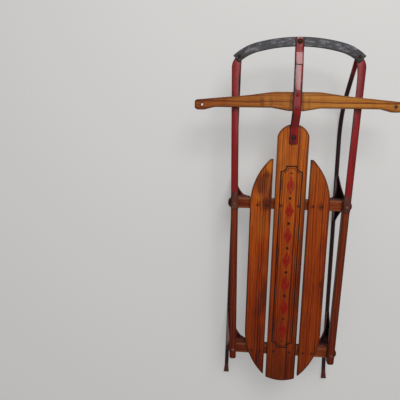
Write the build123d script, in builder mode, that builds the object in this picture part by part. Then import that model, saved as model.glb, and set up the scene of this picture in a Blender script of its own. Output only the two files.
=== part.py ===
"""Child's steerable runner sled: slatted wooden deck on two sprung steel runners.

+X points to the front, +Y to the left, +Z up. The runners stand on z = 0, and x = 0 is midway
between the front of the bumper and the tails of the runners. Millimetres throughout.
"""

from build123d import *
from math import acos, asin, atan, cos, degrees, radians, sin
import os

os.makedirs("parts", exist_ok=True)

SIDES = (("left", 1), ("right", -1))

# Stations along the sled, from the tails of the runners to the front of the bumper
RUNNER_OVERHANG = 160.3
BENCH_SPACING = 434.0
NOSE_REACH = 394.0
BUMPER_PROUD = 38.3
HALF_LENGTH = (RUNNER_OVERHANG + BENCH_SPACING + NOSE_REACH + BUMPER_PROUD) / 2
BUMPER_FRONT_X = HALF_LENGTH
NOSE_X = BUMPER_FRONT_X - BUMPER_PROUD
FRONT_BENCH_X = NOSE_X - NOSE_REACH
REAR_BENCH_X = FRONT_BENCH_X - BENCH_SPACING
RUNNER_TAIL_X = REAR_BENCH_X - RUNNER_OVERHANG

# Heights of the deck's layers, from the floor
DECK_TOP = 150.0
SLAT_THICKNESS = 10.0
BENCH_THICKNESS = 20.0
RAIL_HEIGHT = 15.0
SLAT_BOTTOM = DECK_TOP - SLAT_THICKNESS
BENCH_BOTTOM = SLAT_BOTTOM - BENCH_THICKNESS
RAIL_TOP = SLAT_BOTTOM + RAIL_HEIGHT

# Side rails, which spread apart towards the front
RAIL_WIDTH = 19.0
RAIL_Y_FRONT = 149.5
RAIL_TAPER = 9.2
RAIL_Y_REAR = RAIL_Y_FRONT - RAIL_TAPER
RAIL_NOSE = 17.0
RAIL_TAIL = 27.0
RAIL_TAIL_RADIUS = 6.0
RAIL_EDGE_ROUND = 1.5

# Benches: the two beams across the sled
BENCH_WIDTH = 28.0
BENCH_END_PROUD = 8.5
BENCH_END_RADIUS = 13.5
BENCH_EDGE_ROUND = 1.2

# Centre slat
CENTRE_WIDTH = 82.6
CENTRE_NOSE_X = FRONT_BENCH_X + 217.0
CENTRE_NOSE_CROWN = 32.0
CENTRE_TAIL_X = REAR_BENCH_X - 90.0
CENTRE_TAIL_CROWN = 8.5

# Side slats, pointed ahead of the front bench and rounded off behind the rear one
SLAT_GAP = 8.0
SIDE_SLAT_WIDTH = 57.5
SIDE_TIP_X = FRONT_BENCH_X + 124.0
SIDE_TIP_BLUNT = 7.0
SIDE_FRONT_RADIUS = 171.0
SIDE_TAIL_X = REAR_BENCH_X - 72.0
SIDE_TAIL_BLUNT = 2.0
SIDE_REAR_RADIUS = 190.0
SLAT_EDGE_ROUND = 1.2
SIDE_INNER_Y = CENTRE_WIDTH / 2 + SLAT_GAP
SIDE_OUTER_Y = SIDE_INNER_Y + SIDE_SLAT_WIDTH

# Knees: pressed-steel standards between runner and bench
KNEE_WALL = 2.2
KNEE_FOOT_LENGTH = 140.0
KNEE_FOOT_WIDTH = 9.0
KNEE_TOP_LENGTH = 34.0
KNEE_INBOARD = 43.0
KNEE_OUTBOARD = 11.0
KNEE_LIP = 4.0
KNEE_TOP_LIP = 28.0
KNEE_WAIST = 41.0
KNEE_WAIST_RISE = 38.5
KNEE_NOTCH_RADIUS = 6.0
KNEE_NOTCH_DEPTH = 9.0

# Runners: a grooved bar, narrower on top, toed in towards the front
RUNNER_WIDTH = 12.0
RUNNER_TOP_WIDTH = 6.4
RUNNER_FOOT_HEIGHT = 2.8
RUNNER_HEIGHT = 7.5
GROOVE_WIDTH = 6.4
GROOVE_DEPTH = 2.6
RUNNER_TAIL_LIFT = 5.0
RUNNER_TAIL_RADIUS = 120.0
FLARE_LENGTH = 22.0
FLARE_WIDTH = 17.0
FLARE_TOP_WIDTH = 4.0
FLARE_FOOT_HEIGHT = 2.0
FLARE_HEIGHT = 3.5
FLARE_GROOVE_DEPTH = 1.2
RUNNER_Y_NOSE = RAIL_Y_FRONT + 0.3
RUNNER_TOE = 0.0084
RUNNER_CUT_X = FRONT_BENCH_X + KNEE_FOOT_LENGTH / 2 + 2.0
RUNNER_CUT_GAP = 1.2

# Bows: the runner sweeps up, is drawn flat, folds over at the nose and returns as a strap
BOW_RADIUS = 185.0
BOW_ANGLE = 45.0
NOSE_RADIUS = 9.0
NOSE_WIDTH = 13.0
DRAWN_LENGTH = 48.0
DRAWN_GROOVE_DEPTH = 0.3
STRAP_WIDTH = 19.0
STRAP_THICKNESS = 3.0
STRAP_GAP = 0.3
STRAP_TAIL_X = FRONT_BENCH_X - 14.0
STRAP_SPLAY = 0.0265
STRAP_TURN_X = NOSE_X - 54.5
STRAP_TURN_RADIUS = 250.0
STRAP_SHOULDER_X = NOSE_X - 21.5
STRAP_SHOULDER_RADIUS = 36.0
STRAP_CORNER_RADIUS = 3.0
STRAP_BOTTOM = RAIL_TOP + STRAP_GAP
STRAP_TOP = STRAP_BOTTOM + STRAP_THICKNESS

# Bumper: an arched flat bar across the two noses
BUMPER_WIDTH = 23.0
BUMPER_THICKNESS = 4.5
BUMPER_CROWN_RADIUS = 415.0
BUMPER_CROWN_HALF = RAIL_Y_FRONT - 43.5
BUMPER_END_RADIUS = 200.0
BUMPER_END_LENGTH = 10.5
BUMPER_OUTER_CORNER = 1.5
BUMPER_INNER_CORNER = 5.0
BUMPER_EDGE_ROUND = 1.0
BUMPER_GAP = 0.3
BUMPER_RIVET_X = NOSE_X - NOSE_RADIUS
BUMPER_RIVET_Y = RUNNER_Y_NOSE
BUMPER_BOLT_X = BUMPER_FRONT_X - 11.0
BUMPER_BOTTOM = STRAP_TOP + BUMPER_GAP
BUMPER_TOP = BUMPER_BOTTOM + BUMPER_THICKNESS

# Steering bar, over the straps
BAR_X = NOSE_X - 131.0
BAR_HALF_LENGTH = 261.5
BAR_THICKNESS = 18.0
BAR_GAP = 0.6
BAR_EDGE_ROUND = 2.0
BAR_BOTTOM = STRAP_TOP + BAR_GAP
BAR_TOP = BAR_BOTTOM + BAR_THICKNESS
BAR_BOLT_X = (BAR_X - 7.0, BAR_X + 27.0)
ROPE_HOLE_INSET = 19.0
ROPE_HOLE_RADIUS = 3.5

# Steering iron: a flat strap from the pivot on the centre slat over the bar to the bumper
IRON_WIDTH = 22.0
IRON_THICKNESS = 3.2
IRON_GAP = 0.3
PIVOT_X = CENTRE_NOSE_X - 34.0
IRON_TAIL_X = PIVOT_X - 18.3
IRON_STEP_X = (BAR_X - 55.0, BAR_X - 18.0)
IRON_DROP_X = BAR_X + 38.0
IRON_CREASE_X = BUMPER_FRONT_X - 70.0
IRON_CREASE_RISE = 7.0
IRON_LAND_X = BUMPER_FRONT_X - 29.0
IRON_NOSE_X = BUMPER_FRONT_X - 1.5
IRON_CORNER_RADIUS = 4.0
BUMPER_BOLT_SLOT = 3.0

# Bolts and rivets
PIN_CLEARANCE = 0.3
SEAT_CLEARANCE = 0.05
RAIL_BOLT_RADIUS = 2.5
BAR_BOLT_RADIUS = 2.2
PIVOT_BOLT_RADIUS = 3.0
BUMPER_BOLT_RADIUS = 3.2
BUMPER_RIVET_RADIUS = 2.4
BOLT_HEAD_RATIO = 2.2
RIVET_HEAD_RATIO = 1.75
HEAD_HEIGHT = 2.6
NUT_RATIO = 2.0
NUT_HEIGHT = 4.0
BOLT_END = 2.5
PEEN_RATIO = 1.4
PEEN_HEIGHT = 1.6
PEEN_CLEARANCE = 0.4


def rail_y(x):
    """Distance from the middle of the sled to the middle of a side rail."""
    slope = (RAIL_Y_FRONT - RAIL_Y_REAR) / (FRONT_BENCH_X - REAR_BENCH_X)
    return RAIL_Y_FRONT + (x - FRONT_BENCH_X) * slope


def strap_y(x):
    """Distance from the middle of the sled to the middle of a bow's strap."""
    return RAIL_Y_FRONT + (x - FRONT_BENCH_X) * STRAP_SPLAY


def runner_y(x):
    """Distance from the middle of the sled to the middle of a runner."""
    return RUNNER_Y_NOSE + (NOSE_X - x) * RUNNER_TOE


def runner_plane(side):
    """Upright plane through one runner: local x runs forward along it, local y is up."""
    toe = atan(RUNNER_TOE)
    forward = Vector(cos(toe), -side * sin(toe), 0)
    return Plane(
        origin=(0, side * runner_y(0), 0),
        x_dir=forward,
        z_dir=forward.cross(Vector(0, 0, 1)),
    )


def save(piece, name):
    """Name a finished piece and write it to its own file."""
    piece.part.label = name
    export_step(piece.part, f"parts/{name}.step")


def bolt(x, y, top, bottom, radius, peened=False):
    """Round-headed bolt seated on `top`, with a hexagonal nut or a peened end under `bottom`."""
    head_radius = radius * (RIVET_HEAD_RATIO if peened else BOLT_HEAD_RATIO)
    end_z = bottom - (PEEN_HEIGHT if peened else NUT_HEIGHT + BOLT_END)
    dome = (head_radius**2 + HEAD_HEIGHT**2) / (2 * HEAD_HEIGHT)
    with BuildPart() as built:
        with BuildSketch(Plane(origin=(x, y, 0), x_dir=(1, 0, 0), z_dir=(0, -1, 0))):
            with BuildLine():
                Polyline((0, top + HEAD_HEIGHT), (0, end_z), (radius, end_z), (radius, top), (head_radius, top))
                RadiusArc((head_radius, top), (0, top + HEAD_HEIGHT), -dome)
            make_face()
        revolve(axis=Axis((x, y, 0), (0, 0, 1)))
        with BuildSketch(Plane.XY.offset(bottom)):
            with Locations((x, y)):
                if peened:
                    Circle(radius * PEEN_RATIO)
                else:
                    RegularPolygon(radius * NUT_RATIO, 6)
        extrude(amount=-PEEN_HEIGHT if peened else -NUT_HEIGHT)
    return built


def drill(x, y, bottom, top, radius):
    """Cut a round upright hole from `bottom` to `top` in the piece being built."""
    with Locations((x, y, (bottom + top) / 2)):
        Cylinder(radius, top - bottom + 2, mode=Mode.SUBTRACT)


# Centre slat
with BuildPart() as centre_slat:
    half = CENTRE_WIDTH / 2
    nose_root = CENTRE_NOSE_X - CENTRE_NOSE_CROWN
    tail_root = CENTRE_TAIL_X + CENTRE_TAIL_CROWN
    with BuildSketch(Plane.XY.offset(SLAT_BOTTOM)):
        with BuildLine():
            Line((tail_root, -half), (nose_root, -half))
            ThreePointArc((nose_root, -half), (CENTRE_NOSE_X, 0), (nose_root, half))
            Line((nose_root, half), (tail_root, half))
            ThreePointArc((tail_root, half), (CENTRE_TAIL_X, 0), (tail_root, -half))
        make_face()
    extrude(amount=SLAT_THICKNESS)
    fillet(centre_slat.edges().group_by(Axis.Z)[-1], SLAT_EDGE_ROUND)
    drill(PIVOT_X, 0, SLAT_BOTTOM, DECK_TOP, PIVOT_BOLT_RADIUS + SEAT_CLEARANCE)
save(centre_slat, "centre_slat")


# Side slats
for side_name, side in SIDES:
    front_drop = SIDE_SLAT_WIDTH - SIDE_TIP_BLUNT
    front_run = (2 * SIDE_FRONT_RADIUS * front_drop - front_drop**2) ** 0.5
    rear_drop = SIDE_SLAT_WIDTH - SIDE_TAIL_BLUNT
    rear_run = (2 * SIDE_REAR_RADIUS * rear_drop - rear_drop**2) ** 0.5
    inner = side * SIDE_INNER_Y
    outer = side * SIDE_OUTER_Y
    tip = (SIDE_TIP_X, inner + side * SIDE_TIP_BLUNT)
    tail = (SIDE_TAIL_X, inner + side * SIDE_TAIL_BLUNT)
    front_root = (SIDE_TIP_X - front_run, outer)
    rear_root = (SIDE_TAIL_X + rear_run, outer)
    with BuildPart() as side_slat:
        with BuildSketch(Plane.XY.offset(SLAT_BOTTOM)):
            with BuildLine():
                Line((SIDE_TIP_X, inner), tip)
                TangentArc(front_root, tip, tangent=(1, 0), tangent_from_first=True)
                Line(front_root, rear_root)
                TangentArc(rear_root, tail, tangent=(-1, 0))
                Line(tail, (SIDE_TAIL_X, inner))
                Line((SIDE_TAIL_X, inner), (SIDE_TIP_X, inner))
            make_face()
        extrude(amount=SLAT_THICKNESS)
        fillet(side_slat.edges().group_by(Axis.Z)[-1], SLAT_EDGE_ROUND)
    save(side_slat, f"{side_name}_slat")


# Benches, with rounded ends that stand out past the rails
for bench_name, bench_x in (("front_bench", FRONT_BENCH_X), ("rear_bench", REAR_BENCH_X)):
    bench_half = rail_y(bench_x) + RAIL_WIDTH / 2 + BENCH_END_PROUD
    with BuildPart() as bench:
        with BuildSketch(Plane.XY.offset(BENCH_BOTTOM)):
            with Locations((bench_x, 0)):
                RectangleRounded(BENCH_WIDTH, 2 * bench_half, BENCH_END_RADIUS)
        extrude(amount=BENCH_THICKNESS)
        fillet(bench.edges().group_by(Axis.Z)[-1], BENCH_EDGE_ROUND)
        fillet(bench.edges().group_by(Axis.Z)[0], BENCH_EDGE_ROUND)
        for _, side in SIDES:
            drill(
                bench_x, side * rail_y(bench_x), BENCH_BOTTOM, SLAT_BOTTOM,
                RAIL_BOLT_RADIUS + SEAT_CLEARANCE,
            )
    save(bench, bench_name)


# Side rails
for side_name, side in SIDES:
    rail_front_x = FRONT_BENCH_X + RAIL_NOSE
    rail_rear_x = REAR_BENCH_X - RAIL_TAIL
    half = RAIL_WIDTH / 2
    corners = [
        (rail_front_x, side * (rail_y(rail_front_x) - half)),
        (rail_front_x, side * (rail_y(rail_front_x) + half)),
        (rail_rear_x, side * (rail_y(rail_rear_x) + half)),
        (rail_rear_x, side * (rail_y(rail_rear_x) - half)),
    ]
    with BuildPart() as rail:
        with BuildSketch(Plane.XY.offset(SLAT_BOTTOM)):
            Polygon(*corners, align=None)
        extrude(amount=RAIL_HEIGHT)
        fillet(rail.edges().filter_by(Axis.Z).group_by(Axis.X)[0], RAIL_TAIL_RADIUS)
        fillet(rail.edges().group_by(Axis.Z)[-1], RAIL_EDGE_ROUND)
        for bench_x in (FRONT_BENCH_X, REAR_BENCH_X):
            drill(
                bench_x, side * rail_y(bench_x), SLAT_BOTTOM, RAIL_TOP,
                RAIL_BOLT_RADIUS + SEAT_CLEARANCE,
            )
    save(rail, f"{side_name}_rail")


def runner_section(width=RUNNER_WIDTH, top_width=RUNNER_TOP_WIDTH, foot=RUNNER_FOOT_HEIGHT,
                   height=RUNNER_HEIGHT, groove_depth=GROOVE_DEPTH):
    """Bar with a groove along its sole, drawn with the sole on the local x axis."""
    half = width / 2
    top = top_width / 2
    groove = GROOVE_WIDTH / 2
    with BuildSketch() as section:
        with BuildLine():
            Line((groove, 0), (half, 0))
            Line((half, 0), (half, foot))
            Line((half, foot), (top, height))
            Line((top, height), (-top, height))
            Line((-top, height), (-half, foot))
            Line((-half, foot), (-half, 0))
            Line((-half, 0), (-groove, 0))
            ThreePointArc((-groove, 0), (0, groove_depth), (groove, 0))
        make_face()
    return section.sketch


# Rear runners, from the flared tail to just ahead of the front knee's foot
for side_name, side in SIDES:
    plane = runner_plane(side)
    lift_angle = acos(1 - RUNNER_TAIL_LIFT / RUNNER_TAIL_RADIUS)
    flare_x = RUNNER_TAIL_X + FLARE_LENGTH * cos(lift_angle)
    flare_end = (RUNNER_TAIL_X, RUNNER_TAIL_LIFT + FLARE_LENGTH * sin(lift_angle))
    touch_x = flare_x + RUNNER_TAIL_RADIUS * sin(lift_angle)
    dive = plane.x_dir * cos(lift_angle) - Vector(0, 0, sin(lift_angle))
    with BuildPart() as runner:
        with BuildLine(plane):
            tail_arc = JernArc(
                (flare_x, RUNNER_TAIL_LIFT),
                (cos(lift_angle), -sin(lift_angle)),
                RUNNER_TAIL_RADIUS,
                degrees(lift_angle),
            )
            Line((touch_x, 0), (RUNNER_CUT_X - RUNNER_CUT_GAP, 0))
        with BuildSketch(Plane(origin=tail_arc @ 0, x_dir=-plane.z_dir, z_dir=dive)):
            add(runner_section())
        sweep()

        # The last stretch spreads into a fishtail
        with BuildSketch(Plane(origin=tail_arc @ 0, x_dir=-plane.z_dir, z_dir=dive)):
            add(runner_section())
        end_point = plane.from_local_coords((*flare_end, 0))
        with BuildSketch(Plane(origin=end_point, x_dir=-plane.z_dir, z_dir=dive)):
            add(runner_section(
                FLARE_WIDTH, FLARE_TOP_WIDTH, FLARE_FOOT_HEIGHT, FLARE_HEIGHT, FLARE_GROOVE_DEPTH
            ))
        loft(ruled=True)
    save(runner, f"{side_name}_runner")


# Knees
def knee_front(bench_x):
    """Fishtail of a knee seen from the front, local x outboard and local y up."""
    foot_y = runner_y(bench_x)
    foot_inboard = (foot_y - KNEE_FOOT_WIDTH / 2, RUNNER_HEIGHT)
    foot_outboard = (foot_y + KNEE_FOOT_WIDTH / 2, RUNNER_HEIGHT)
    inboard = rail_y(bench_x) - KNEE_INBOARD
    outboard = rail_y(bench_x) + KNEE_OUTBOARD
    lip = BENCH_BOTTOM - KNEE_LIP
    lean = (rail_y(bench_x) - foot_y, BENCH_BOTTOM - RUNNER_HEIGHT)
    with BuildSketch() as front:
        with BuildLine():
            Polyline(
                foot_inboard, foot_outboard, (outboard, lip), (outboard, BENCH_BOTTOM),
                (inboard, BENCH_BOTTOM), (inboard, lip),
            )
            TangentArc(foot_inboard, (inboard, lip), tangent=lean)
        make_face()
    return front.sketch


for end_name, bench_x in (("front", FRONT_BENCH_X), ("rear", REAR_BENCH_X)):
    for side_name, side in SIDES:
        foot_half_length = KNEE_FOOT_LENGTH / 2
        top_half = KNEE_TOP_LENGTH / 2
        front_plane = Plane(origin=(bench_x, 0, 0), x_dir=(0, side, 0), z_dir=(side, 0, 0))
        side_plane = Plane(origin=(bench_x, side * rail_y(bench_x), 0), x_dir=(1, 0, 0), z_dir=(0, -1, 0))
        with BuildPart() as knee:
            with BuildSketch(front_plane):
                add(knee_front(bench_x))
            extrude(amount=foot_half_length, both=True)
            with BuildSketch(side_plane):
                with BuildLine():
                    Line((-foot_half_length, RUNNER_HEIGHT), (foot_half_length, RUNNER_HEIGHT))
                    Line((foot_half_length, RUNNER_HEIGHT), (foot_half_length, RUNNER_HEIGHT + KNEE_WALL))
                    ThreePointArc(
                        (foot_half_length, RUNNER_HEIGHT + KNEE_WALL),
                        (KNEE_WAIST, RUNNER_HEIGHT + KNEE_WAIST_RISE),
                        (top_half, BENCH_BOTTOM - KNEE_TOP_LIP),
                    )
                    Line((top_half, BENCH_BOTTOM - KNEE_TOP_LIP), (top_half, BENCH_BOTTOM))
                    Line((top_half, BENCH_BOTTOM), (-top_half, BENCH_BOTTOM))
                    Line((-top_half, BENCH_BOTTOM), (-top_half, BENCH_BOTTOM - KNEE_TOP_LIP))
                    ThreePointArc(
                        (-top_half, BENCH_BOTTOM - KNEE_TOP_LIP),
                        (-KNEE_WAIST, RUNNER_HEIGHT + KNEE_WAIST_RISE),
                        (-foot_half_length, RUNNER_HEIGHT + KNEE_WALL),
                    )
                    Line((-foot_half_length, RUNNER_HEIGHT + KNEE_WALL), (-foot_half_length, RUNNER_HEIGHT))
                make_face()
            extrude(amount=100, both=True, mode=Mode.INTERSECT)
            for direction in (1, -1):
                with BuildSketch(front_plane.offset(direction * side * KNEE_WALL / 2)):
                    add(knee_front(bench_x))
                    offset(amount=-KNEE_WALL, kind=Kind.INTERSECTION)
                extrude(amount=direction * side * foot_half_length, mode=Mode.SUBTRACT)
            bolt_y = side * rail_y(bench_x)
            plate_bottom = BENCH_BOTTOM - KNEE_WALL
            drill(bench_x, bolt_y, plate_bottom, BENCH_BOTTOM, RAIL_BOLT_RADIUS + SEAT_CLEARANCE)
            with Locations((bench_x, bolt_y, plate_bottom - KNEE_NOTCH_DEPTH / 2)):
                Cylinder(KNEE_NOTCH_RADIUS, KNEE_NOTCH_DEPTH, mode=Mode.SUBTRACT)
        save(knee, f"{end_name}_{side_name}_knee")


# Bows: runner front, fold and strap in one piece, turning about the strap's bolt
for side_name, side in SIDES:
    plane = runner_plane(side)
    sine, cosine = sin(radians(BOW_ANGLE)), cos(radians(BOW_ANGLE))
    fold_centre = (NOSE_X - NOSE_RADIUS, STRAP_TOP - NOSE_RADIUS)
    fold_start = (fold_centre[0] + NOSE_RADIUS * sine, fold_centre[1] - NOSE_RADIUS * cosine)
    drawn_start = (fold_start[0] - DRAWN_LENGTH * cosine, fold_start[1] - DRAWN_LENGTH * sine)
    rise_height = BOW_RADIUS * (1 - cosine)
    rise_x = fold_start[0] - (fold_start[1] - rise_height) * cosine / sine
    bend_x = rise_x - BOW_RADIUS * sine
    climb = plane.x_dir * cosine + Vector(0, 0, sine)
    with BuildPart() as bow:
        with BuildLine(plane):
            Line((RUNNER_CUT_X, 0), (bend_x, 0))
            JernArc((bend_x, 0), (1, 0), BOW_RADIUS, BOW_ANGLE)
            Line((rise_x, rise_height), drawn_start)
        start_point = plane.from_local_coords((RUNNER_CUT_X, 0, 0))
        with BuildSketch(Plane(origin=start_point, x_dir=-plane.z_dir, z_dir=plane.x_dir)):
            add(runner_section())
        sweep()

        # The last stretch of the climb is drawn flat
        drawn_origin = plane.from_local_coords((*drawn_start, 0))
        with BuildSketch(Plane(origin=drawn_origin, x_dir=-plane.z_dir, z_dir=climb)):
            add(runner_section())
        fold_origin = plane.from_local_coords((*fold_start, 0))
        with BuildSketch(Plane(origin=fold_origin, x_dir=-plane.z_dir, z_dir=climb)):
            add(runner_section(
                NOSE_WIDTH, NOSE_WIDTH - 1, STRAP_THICKNESS / 2, STRAP_THICKNESS, DRAWN_GROOVE_DEPTH
            ))
        loft(ruled=True)

        # Fold
        inner = NOSE_RADIUS - STRAP_THICKNESS
        with BuildSketch(plane):
            with BuildLine():
                CenterArc(fold_centre, NOSE_RADIUS, BOW_ANGLE - 90, 180 - BOW_ANGLE)
                CenterArc(fold_centre, inner, BOW_ANGLE - 90, 180 - BOW_ANGLE)
                Line((fold_centre[0] + inner * sine, fold_centre[1] - inner * cosine), fold_start)
                Line((fold_centre[0], STRAP_TOP), (fold_centre[0], STRAP_BOTTOM))
            make_face()
        extrude(amount=NOSE_WIDTH / 2, both=True)

        # Strap
        nose_y = runner_y(fold_centre[0])
        half = STRAP_WIDTH / 2
        outline = (  # x, y, corner radius
            (STRAP_TAIL_X, strap_y(STRAP_TAIL_X) - half, STRAP_CORNER_RADIUS),
            (STRAP_TURN_X, strap_y(STRAP_TURN_X) - half, STRAP_TURN_RADIUS),
            (fold_centre[0], nose_y - NOSE_WIDTH / 2, 0),
            (fold_centre[0], nose_y + NOSE_WIDTH / 2, 0),
            (STRAP_SHOULDER_X, strap_y(STRAP_SHOULDER_X) + half, STRAP_SHOULDER_RADIUS),
            (STRAP_TAIL_X, strap_y(STRAP_TAIL_X) + half, STRAP_CORNER_RADIUS),
        )
        with BuildSketch(Plane.XY.offset(STRAP_BOTTOM)):
            with BuildLine():
                FilletPolyline(
                    *[(x, side * y) for x, y, _ in outline], radius=[r for _, _, r in outline], close=True
                )
            make_face()
        extrude(amount=STRAP_THICKNESS)
        drill(
            FRONT_BENCH_X, side * rail_y(FRONT_BENCH_X), STRAP_BOTTOM, STRAP_TOP,
            RAIL_BOLT_RADIUS + PIN_CLEARANCE,
        )
        with Locations((BUMPER_RIVET_X, side * BUMPER_RIVET_Y, STRAP_TOP)):
            Cylinder(BUMPER_RIVET_RADIUS + SEAT_CLEARANCE, 2 * STRAP_THICKNESS + 1, mode=Mode.SUBTRACT)
        with Locations((BUMPER_RIVET_X, side * BUMPER_RIVET_Y, STRAP_BOTTOM - PEEN_HEIGHT)):
            peen_seat = BUMPER_RIVET_RADIUS * PEEN_RATIO + PEEN_CLEARANCE
            Cylinder(peen_seat, 2 * PEEN_HEIGHT, mode=Mode.SUBTRACT)
    save(bow, f"{side_name}_bow")


# Bumper
with BuildPart() as bumper:
    middle_x = BUMPER_FRONT_X - BUMPER_WIDTH / 2
    crown_angle = degrees(asin(BUMPER_CROWN_HALF / BUMPER_CROWN_RADIUS))
    end_angle = degrees(BUMPER_END_LENGTH / BUMPER_END_RADIUS)
    with BuildSketch(Plane.XY.offset(BUMPER_BOTTOM)):
        with BuildLine():
            for side in (1, -1):
                rivet = (BUMPER_RIVET_X, side * BUMPER_RIVET_Y)
                crown = JernArc((middle_x, 0), (0, side), BUMPER_CROWN_RADIUS, side * crown_angle)
                shoulder = TangentArc(crown @ 1, rivet, tangent=crown % 1)
                JernArc(rivet, shoulder % 1, BUMPER_END_RADIUS, side * end_angle)
        trace(line_width=BUMPER_WIDTH)
    extrude(amount=BUMPER_THICKNESS)
    across = bumper.edges().filter_by(Axis.Z).sort_by(Axis.Y)
    fillet([across[0], across[-1]], BUMPER_OUTER_CORNER)
    fillet(bumper.edges().filter_by(Axis.Z).sort_by(Axis.X)[:2], BUMPER_INNER_CORNER)
    fillet(bumper.edges().group_by(Axis.Z)[-1], BUMPER_EDGE_ROUND)
    for side in (1, -1):
        drill(
            BUMPER_RIVET_X, side * BUMPER_RIVET_Y, BUMPER_BOTTOM, BUMPER_TOP,
            BUMPER_RIVET_RADIUS + PIN_CLEARANCE,
        )
    drill(BUMPER_BOLT_X, 0, BUMPER_BOTTOM, BUMPER_TOP, BUMPER_BOLT_RADIUS + SEAT_CLEARANCE)
save(bumper, "bumper")


# Steering bar: half outline from the middle of its front edge round to the middle of its back
BAR_OUTLINE = (  # x ahead of the rope holes, y, corner radius
    (34.0, 58.0, 120.0),
    (25.0, 122.0, 200.0),
    (12.0, BAR_HALF_LENGTH, 8.0),
    (-13.0, BAR_HALF_LENGTH, 8.0),
    (-13.0, BAR_HALF_LENGTH - 23.5, 30.0),
    (-5.8, BAR_HALF_LENGTH - 51.5, 30.0),
    (-5.6, 62.0, 40.0),
    (-13.2, 20.0, 40.0),
)
with BuildPart() as steering_bar:
    mirrored = [(x, -y, r) for x, y, r in reversed(BAR_OUTLINE)]
    outline = list(BAR_OUTLINE) + mirrored
    with BuildSketch(Plane.XY.offset(BAR_BOTTOM)):
        with BuildLine():
            FilletPolyline(
                *[(BAR_X + x, y) for x, y, _ in outline], radius=[r for _, _, r in outline], close=True
            )
        make_face()
    extrude(amount=BAR_THICKNESS)
    fillet(steering_bar.edges().group_by(Axis.Z)[-1], BAR_EDGE_ROUND)
    fillet(steering_bar.edges().group_by(Axis.Z)[0], BAR_EDGE_ROUND)
    for side in (1, -1):
        drill(BAR_X, side * (BAR_HALF_LENGTH - ROPE_HOLE_INSET), BAR_BOTTOM, BAR_TOP, ROPE_HOLE_RADIUS)
    for x in BAR_BOLT_X:
        drill(x, 0, BAR_BOTTOM, BAR_TOP, BAR_BOLT_RADIUS + SEAT_CLEARANCE)
save(steering_bar, "steering_bar")


# Steering iron
IRON_PATH = (  # x, height of its underside, bend radius
    (IRON_TAIL_X, DECK_TOP + IRON_GAP, 0),
    (IRON_STEP_X[0], DECK_TOP + IRON_GAP, 14.0),
    (IRON_STEP_X[1], BAR_TOP, 14.0),
    (IRON_DROP_X, BAR_TOP, 12.0),
    (IRON_CREASE_X, BUMPER_TOP + IRON_GAP + IRON_CREASE_RISE, 20.0),
    (IRON_LAND_X, BUMPER_TOP + IRON_GAP, 20.0),
    (IRON_NOSE_X, BUMPER_TOP + IRON_GAP, 0),
)
with BuildPart() as steering_iron:
    with BuildSketch(Plane.XZ):
        with BuildLine():
            FilletPolyline(
                *[(x, z + IRON_THICKNESS / 2) for x, z, _ in IRON_PATH],
                radius=[r for _, _, r in IRON_PATH[1:-1]],
            )
        trace(line_width=IRON_THICKNESS)
    extrude(amount=IRON_WIDTH / 2, both=True)
    with BuildSketch(Plane.XY.offset(DECK_TOP)):
        with Locations(((IRON_TAIL_X + IRON_NOSE_X) / 2, 0)):
            RectangleRounded(IRON_NOSE_X - IRON_TAIL_X, IRON_WIDTH, IRON_CORNER_RADIUS)
    extrude(amount=BAR_TOP + 2 * IRON_THICKNESS - DECK_TOP, mode=Mode.INTERSECT)
    drill(PIVOT_X, 0, DECK_TOP, DECK_TOP + IRON_THICKNESS, PIVOT_BOLT_RADIUS + PIN_CLEARANCE)
    for x in BAR_BOLT_X:
        drill(x, 0, BAR_TOP, BAR_TOP + IRON_THICKNESS, BAR_BOLT_RADIUS + SEAT_CLEARANCE)
    slot_radius = BUMPER_BOLT_RADIUS + PIN_CLEARANCE
    with BuildSketch(Plane.XY.offset(BUMPER_TOP)):
        with Locations((BUMPER_BOLT_X, 0)):
            SlotOverall(2 * slot_radius + BUMPER_BOLT_SLOT, 2 * slot_radius)
    extrude(amount=IRON_THICKNESS + 2, mode=Mode.SUBTRACT)
save(steering_iron, "steering_iron")


# Bolts and rivets
for side_name, side in SIDES:
    front_y = side * rail_y(FRONT_BENCH_X)
    rear_y = side * rail_y(REAR_BENCH_X)
    plate_bottom = BENCH_BOTTOM - KNEE_WALL
    front_bolt = bolt(FRONT_BENCH_X, front_y, STRAP_TOP + STRAP_GAP, plate_bottom, RAIL_BOLT_RADIUS)
    save(front_bolt, f"front_{side_name}_bolt")
    rear_bolt = bolt(REAR_BENCH_X, rear_y, RAIL_TOP, plate_bottom, RAIL_BOLT_RADIUS)
    save(rear_bolt, f"rear_{side_name}_bolt")
    rivet = bolt(
        BUMPER_RIVET_X, side * BUMPER_RIVET_Y, BUMPER_TOP + BUMPER_GAP, STRAP_BOTTOM,
        BUMPER_RIVET_RADIUS, peened=True,
    )
    save(rivet, f"{side_name}_bumper_rivet")

pivot_bolt = bolt(PIVOT_X, 0, DECK_TOP + 2 * IRON_GAP + IRON_THICKNESS, SLAT_BOTTOM, PIVOT_BOLT_RADIUS)
save(pivot_bolt, "pivot_bolt")

bumper_bolt = bolt(
    BUMPER_BOLT_X, 0, BUMPER_TOP + 2 * IRON_GAP + IRON_THICKNESS, BUMPER_BOTTOM, BUMPER_BOLT_RADIUS
)
save(bumper_bolt, "bumper_bolt")

for bolt_name, x in (("rear_bar_bolt", BAR_BOLT_X[0]), ("front_bar_bolt", BAR_BOLT_X[1])):
    bar_bolt = bolt(x, 0, BAR_TOP + IRON_THICKNESS, BAR_BOTTOM, BAR_BOLT_RADIUS)
    save(bar_bolt, bolt_name)
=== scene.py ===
"""Looks of the steerable runner sled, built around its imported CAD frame.

Metres, in the frame's own axes: +X to the front, +Y to the left, +Z up, floor at z = 0.
Sizes are written in millimetres and turned to metres where a mesh or a material takes them.
"""

from math import acos, atan, cos, pi, radians, sin, sqrt, tan

import bmesh
import bpy
from mathutils import Matrix, Vector


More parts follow.
